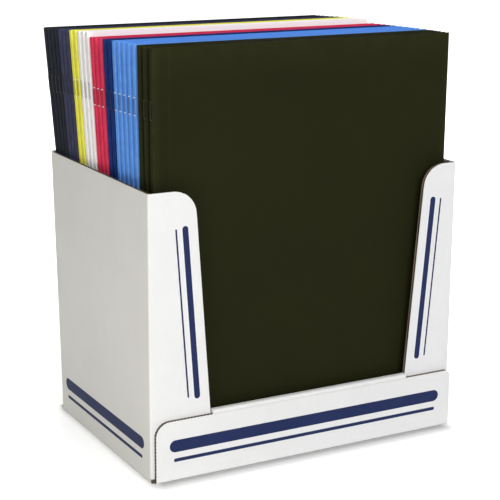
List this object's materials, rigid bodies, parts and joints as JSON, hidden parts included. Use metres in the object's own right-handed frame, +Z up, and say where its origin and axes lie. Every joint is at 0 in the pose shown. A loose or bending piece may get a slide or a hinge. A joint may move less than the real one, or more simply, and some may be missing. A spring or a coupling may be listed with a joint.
{
  "type": "boxed set of two-pocket folders",
  "caption": "Open-fronted corrugated display tray holding a fanned set of letter-size two-pocket folders with tang fasteners. Every folder lifts out of the tray.",
  "frame": {"origin": "middle of the tray's underside, on the surface it stands on", "axes": "+X to the viewer's right along the front wall, +Y from the front to the back, +Z up"},
  "size_m": [0.2542, 0.199, 0.3051],
  "materials": {
    "black": "matte",
    "light_blue": "matte",
    "dark_blue": "matte",
    "red": "matte",
    "white": "matte",
    "yellow": "matte",
    "navy": "matte",
    "charcoal": "matte",
    "board": "matte",
    "steel": "satin"
  },
  "bodies": {
    "tray": {"tray_base": "board", "tray_back_wall": "board", "tray_left_wall": "board", "tray_right_wall": "board", "tray_left_flap": "board", "tray_right_flap": "board", "tray_front_wall": "board", "tray_roll_over": "board", "tray_bottom_flap": "board"},
    "folder_01": {"folder_01_back": "black", "folder_01_fasteners": "steel"},
    "folder_01_front_leaf": {"folder_01_front": "black"},
    "folder_02": {"folder_02_cover": "black", "folder_02_fasteners": "steel"},
    "folder_03": {"folder_03_cover": "black", "folder_03_fasteners": "steel"},
    "folder_04": {"folder_04_cover": "light_blue", "folder_04_fasteners": "steel"},
    "folder_05": {"folder_05_cover": "light_blue", "folder_05_fasteners": "steel"},
    "folder_06": {"folder_06_cover": "light_blue", "folder_06_fasteners": "steel"},
    "folder_07": {"folder_07_cover": "light_blue", "folder_07_fasteners": "steel"},
    "folder_08": {"folder_08_cover": "light_blue", "folder_08_fasteners": "steel"},
    "folder_09": {"folder_09_cover": "dark_blue", "folder_09_fasteners": "steel"},
    "folder_10": {"folder_10_cover": "dark_blue", "folder_10_fasteners": "steel"},
    "folder_11": {"folder_11_cover": "red", "folder_11_fasteners": "steel"},
    "folder_12": {"folder_12_cover": "red", "folder_12_fasteners": "steel"},
    "folder_13": {"folder_13_cover": "red", "folder_13_fasteners": "steel"},
    "folder_14": {"folder_14_cover": "white", "folder_14_fasteners": "steel"},
    "folder_15": {"folder_15_cover": "white", "folder_15_fasteners": "steel"},
    "folder_16": {"folder_16_cover": "white", "folder_16_fasteners": "steel"},
    "folder_17": {"folder_17_cover": "yellow", "folder_17_fasteners": "steel"},
    "folder_18": {"folder_18_cover": "yellow", "folder_18_fasteners": "steel"},
    "folder_19": {"folder_19_cover": "navy", "folder_19_fasteners": "steel"},
    "folder_20": {"folder_20_cover": "navy", "folder_20_fasteners": "steel"},
    "folder_21": {"folder_21_cover": "navy", "folder_21_fasteners": "steel"},
    "folder_22": {"folder_22_cover": "charcoal", "folder_22_fasteners": "steel"},
    "folder_23": {"folder_23_cover": "charcoal", "folder_23_fasteners": "steel"},
    "folder_24": {"folder_24_cover": "charcoal", "folder_24_fasteners": "steel"},
    "folder_25": {"folder_25_cover": "charcoal", "folder_25_fasteners": "steel"}
  },
  "joints": [
    {"name": "folder_01_lift", "type": "slide", "parent": "tray", "child": "folder_01", "axis": [0, 0, 1], "range_m": [0, 0.305]},
    {"name": "folder_02_lift", "type": "slide", "parent": "tray", "child": "folder_02", "axis": [0, 0.0158, 0.9999], "range_m": [0, 0.305]},
    {"name": "folder_03_lift", "type": "slide", "parent": "tray", "child": "folder_03", "axis": [0, 0.0275, 0.9996], "range_m": [0, 0.305]},
    {"name": "folder_04_lift", "type": "slide", "parent": "tray", "child": "folder_04", "axis": [0, 0.038, 0.9993], "range_m": [0, 0.305]},
    {"name": "folder_05_lift", "type": "slide", "parent": "tray", "child": "folder_05", "axis": [0, 0.0479, 0.9989], "range_m": [0, 0.305]},
    {"name": "folder_06_lift", "type": "slide", "parent": "tray", "child": "folder_06", "axis": [0, 0.0572, 0.9984], "range_m": [0, 0.305]},
    {"name": "folder_07_lift", "type": "slide", "parent": "tray", "child": "folder_07", "axis": [0, 0.0662, 0.9978], "range_m": [0, 0.305]},
    {"name": "folder_08_lift", "type": "slide", "parent": "tray", "child": "folder_08", "axis": [0, 0.0748, 0.9972], "range_m": [0, 0.305]},
    {"name": "folder_09_lift", "type": "slide", "parent": "tray", "child": "folder_09", "axis": [0, 0.0832, 0.9965], "range_m": [0, 0.305]},
    {"name": "folder_10_lift", "type": "slide", "parent": "tray", "child": "folder_10", "axis": [0, 0.0915, 0.9958], "range_m": [0, 0.305]},
    {"name": "folder_11_lift", "type": "slide", "parent": "tray", "child": "folder_11", "axis": [0, 0.0995, 0.995], "range_m": [0, 0.305]},
    {"name": "folder_12_lift", "type": "slide", "parent": "tray", "child": "folder_12", "axis": [0, 0.1073, 0.9942], "range_m": [0, 0.305]},
    {"name": "folder_13_lift", "type": "slide", "parent": "tray", "child": "folder_13", "axis": [0, 0.115, 0.9934], "range_m": [0, 0.305]},
    {"name": "folder_14_lift", "type": "slide", "parent": "tray", "child": "folder_14", "axis": [0, 0.1226, 0.9925], "range_m": [0, 0.305]},
    {"name": "folder_15_lift", "type": "slide", "parent": "tray", "child": "folder_15", "axis": [0, 0.13, 0.9915], "range_m": [0, 0.305]},
    {"name": "folder_16_lift", "type": "slide", "parent": "tray", "child": "folder_16", "axis": [0, 0.1374, 0.9905], "range_m": [0, 0.305]},
    {"name": "folder_17_lift", "type": "slide", "parent": "tray", "child": "folder_17", "axis": [0, 0.1446, 0.9895], "range_m": [0, 0.305]},
    {"name": "folder_18_lift", "type": "slide", "parent": "tray", "child": "folder_18", "axis": [0, 0.1517, 0.9884], "range_m": [0, 0.305]},
    {"name": "folder_19_lift", "type": "slide", "parent": "tray", "child": "folder_19", "axis": [0, 0.1588, 0.9873], "range_m": [0, 0.305]},
    {"name": "folder_20_lift", "type": "slide", "parent": "tray", "child": "folder_20", "axis": [0, 0.1657, 0.9862], "range_m": [0, 0.305]},
    {"name": "folder_21_lift", "type": "slide", "parent": "tray", "child": "folder_21", "axis": [0, 0.1726, 0.985], "range_m": [0, 0.305]},
    {"name": "folder_22_lift", "type": "slide", "parent": "tray", "child": "folder_22", "axis": [0, 0.1794, 0.9838], "range_m": [0, 0.305]},
    {"name": "folder_23_lift", "type": "slide", "parent": "tray", "child": "folder_23", "axis": [0, 0.1861, 0.9825], "range_m": [0, 0.305]},
    {"name": "folder_24_lift", "type": "slide", "parent": "tray", "child": "folder_24", "axis": [0, 0.1928, 0.9812], "range_m": [0, 0.305]},
    {"name": "folder_25_lift", "type": "slide", "parent": "tray", "child": "folder_25", "axis": [0, 0.1994, 0.9799], "range_m": [0, 0.305]},
    {"name": "folder_01_leaf_swing", "type": "hinge", "parent": "folder_01", "child": "folder_01_front_leaf", "pos_m": [-0.11725, -0.07171, 0.15355], "axis": [0, 0, -1], "range_deg": [0, 1.8]}
  ]
}
